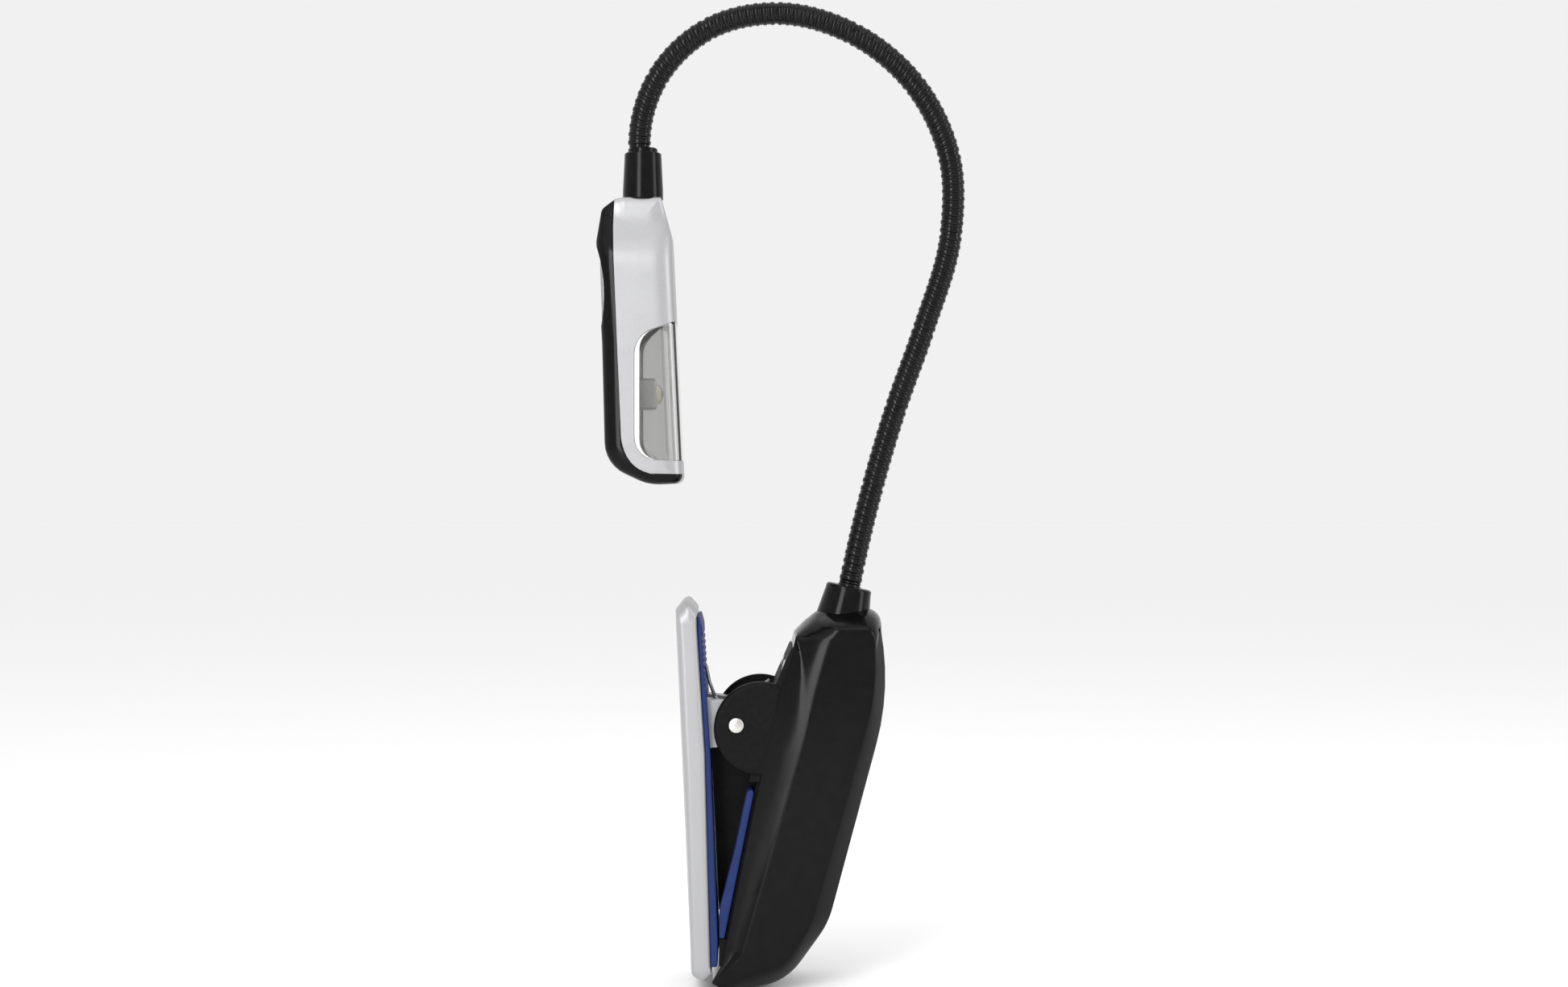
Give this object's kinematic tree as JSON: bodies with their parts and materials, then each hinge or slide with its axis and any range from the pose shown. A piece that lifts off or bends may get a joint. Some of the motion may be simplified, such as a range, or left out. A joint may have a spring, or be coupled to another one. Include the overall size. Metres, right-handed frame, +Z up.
{
  "type": "clip-on reading lamp",
  "caption": "Clip-on reading lamp: a sprung clip with a battery housing, a bendable gooseneck and a slim head with a clear window, a small LED and a thumb button.",
  "frame": {"origin": "where the two jaws of the clip meet, in the middle of their width", "axes": "+Z up along the clip and the neck, +X from the silver lever towards the battery housing, +Y along the hinge pin away from the viewer"},
  "size_m": [0.0948, 0.03, 0.2554],
  "materials": {
    "black_satin": "satin black moulding",
    "black_gloss": "gloss black moulding",
    "silver": "satin silver",
    "blue_rubber": "soft matte blue",
    "steel": "brushed",
    "spring_steel": "drawn wire",
    "neck_black": "black oxide, wound wire",
    "brass": "turned",
    "cell_wrap": "printed sleeve",
    "nickel": "nickel plate",
    "lead_red": "insulation",
    "clear": "clear",
    "white": "bright white",
    "led_epoxy": "clear epoxy over phosphor",
    "board_green": "solder mask",
    "chip_black": "component bodies",
    "grey_plastic": "satin grey",
    "ivory": "switch plunger"
  },
  "bodies": {
    "base": {"front_plate": "black_satin", "rear_shell": "black_gloss", "neck_collar": "black_gloss", "neck_bush": "brass", "fixed_pad": "blue_rubber", "hinge_pin": "steel", "spring_coil": "spring_steel", "battery_tray": "black_satin", "battery_cells": "cell_wrap", "cell_springs": "nickel", "cell_plates": "nickel", "base_lead": "lead_red", "housing_screws": "steel", "neck_link_1": "neck_black", "neck_lead_1": "lead_red"},
    "lever": {"lever": "silver", "lever_pad": "blue_rubber", "spring_arm": "spring_steel"},
    "door": {"battery_door": "black_gloss"},
    "neck_2": {"neck_link_2": "neck_black", "neck_lead_2": "lead_red"},
    "neck_3": {"neck_link_3": "neck_black", "neck_lead_3": "lead_red"},
    "neck_4": {"neck_link_4": "neck_black", "neck_lead_4": "lead_red"},
    "neck_5": {"neck_link_5": "neck_black", "neck_lead_5": "lead_red"},
    "neck_6": {"neck_link_6": "neck_black", "neck_lead_6": "lead_red"},
    "neck_7": {"neck_link_7": "neck_black", "neck_lead_7": "lead_red"},
    "neck_8": {"neck_link_8": "neck_black", "neck_lead_8": "lead_red"},
    "neck_9": {"neck_link_9": "neck_black", "neck_lead_9": "lead_red"},
    "neck_10": {"neck_link_10": "neck_black", "neck_lead_10": "lead_red"},
    "neck_11": {"neck_link_11": "neck_black", "neck_lead_11": "lead_red"},
    "neck_12": {"neck_link_12": "neck_black", "neck_lead_12": "lead_red"},
    "head": {"neck_link_13": "neck_black", "neck_lead_13": "lead_red", "head_ferrule": "black_gloss", "head_front_shell": "silver", "head_rear_shell": "black_gloss", "head_lens": "clear", "reflector": "white", "led": "led_epoxy", "led_holder": "white", "head_board": "board_green", "board_parts": "chip_black", "switch_body": "chip_black", "head_screw": "steel", "head_lead": "lead_red"},
    "button": {"switch_button": "grey_plastic", "switch_plunger": "ivory"}
  },
  "joints": [
    {"name": "clip_lever", "type": "hinge", "parent": "base", "child": "lever", "pos_m": [0.0045, 0, 0.057], "axis": [0, 1, 0], "range_deg": [0, 38], "stiffness_Nm_per_rad": 0.5, "springref_deg": -40.11},
    {"name": "door_release", "type": "slide", "parent": "base", "child": "door", "axis": [0.9724, 0, -0.2334], "range_m": [0, 0.03]},
    {"name": "neck_lower_bend", "type": "hinge", "parent": "base", "child": "neck_2", "pos_m": [0.03504, 0, 0.09719], "axis": [0, 1, 0], "range_deg": [-4, 11]},
    {"name": "neck_lower_bend_2", "type": "hinge", "parent": "neck_2", "child": "neck_3", "pos_m": [0.04002, 0, 0.11793], "axis": [0, 1, 0], "range_deg": [-4, 11]},
    {"name": "neck_side_bend", "type": "hinge", "parent": "neck_3", "child": "neck_4", "pos_m": [0.04608, 0, 0.13839], "axis": [0.9511, 0, -0.309], "range_deg": [-14, 14]},
    {"name": "neck_lower_bend_3", "type": "hinge", "parent": "neck_4", "child": "neck_5", "pos_m": [0.0532, 0, 0.15849], "axis": [0, 1, 0], "range_deg": [-4, 11]},
    {"name": "neck_lower_bend_4", "type": "hinge", "parent": "neck_5", "child": "neck_6", "pos_m": [0.06035, 0, 0.18345], "axis": [0, 1, 0], "range_deg": [-4, 11]},
    {"name": "neck_side_bend_2", "type": "hinge", "parent": "neck_6", "child": "neck_7", "pos_m": [0.05988, 0, 0.20411], "axis": [0.9719, 0, 0.2356], "range_deg": [-14, 14]},
    {"name": "neck_upper_bend", "type": "hinge", "parent": "neck_7", "child": "neck_8", "pos_m": [0.05084, 0, 0.2227], "axis": [0, 1, 0], "range_deg": [-4, 14]},
    {"name": "neck_upper_bend_2", "type": "hinge", "parent": "neck_8", "child": "neck_9", "pos_m": [0.03488, 0, 0.23582], "axis": [0, 1, 0], "range_deg": [-4, 14]},
    {"name": "neck_side_bend_3", "type": "hinge", "parent": "neck_9", "child": "neck_10", "pos_m": [0.0149, 0, 0.24111], "axis": [0.0436, 0, 0.999], "range_deg": [-14, 14]},
    {"name": "neck_upper_bend_3", "type": "hinge", "parent": "neck_10", "child": "neck_11", "pos_m": [-0.00299, 0, 0.23695], "axis": [0, 1, 0], "range_deg": [-4, 14]},
    {"name": "neck_upper_bend_4", "type": "hinge", "parent": "neck_11", "child": "neck_12", "pos_m": [-0.01615, 0, 0.22413], "axis": [0, 1, 0], "range_deg": [-4, 14]},
    {"name": "neck_upper_bend_5", "type": "hinge", "parent": "neck_12", "child": "head", "pos_m": [-0.02077, 0, 0.20635], "axis": [0, 1, 0], "range_deg": [-4, 14]},
    {"name": "button_press", "type": "slide", "parent": "head", "child": "button", "axis": [1, 0, 0], "range_m": [0, 0.0008], "stiffness_N_per_m": 1500, "springref_m": -0.0004}
  ],
  "couplings": [
    {"joint": "neck_lower_bend_2", "follows": "neck_lower_bend", "ratio": 1},
    {"joint": "neck_lower_bend_3", "follows": "neck_lower_bend", "ratio": 1},
    {"joint": "neck_lower_bend_4", "follows": "neck_lower_bend", "ratio": 1},
    {"joint": "neck_side_bend_2", "follows": "neck_side_bend", "ratio": 1},
    {"joint": "neck_upper_bend_2", "follows": "neck_upper_bend", "ratio": 1},
    {"joint": "neck_side_bend_3", "follows": "neck_side_bend", "ratio": 1},
    {"joint": "neck_upper_bend_3", "follows": "neck_upper_bend", "ratio": 1},
    {"joint": "neck_upper_bend_4", "follows": "neck_upper_bend", "ratio": 1},
    {"joint": "neck_upper_bend_5", "follows": "neck_upper_bend", "ratio": 1}
  ]
}
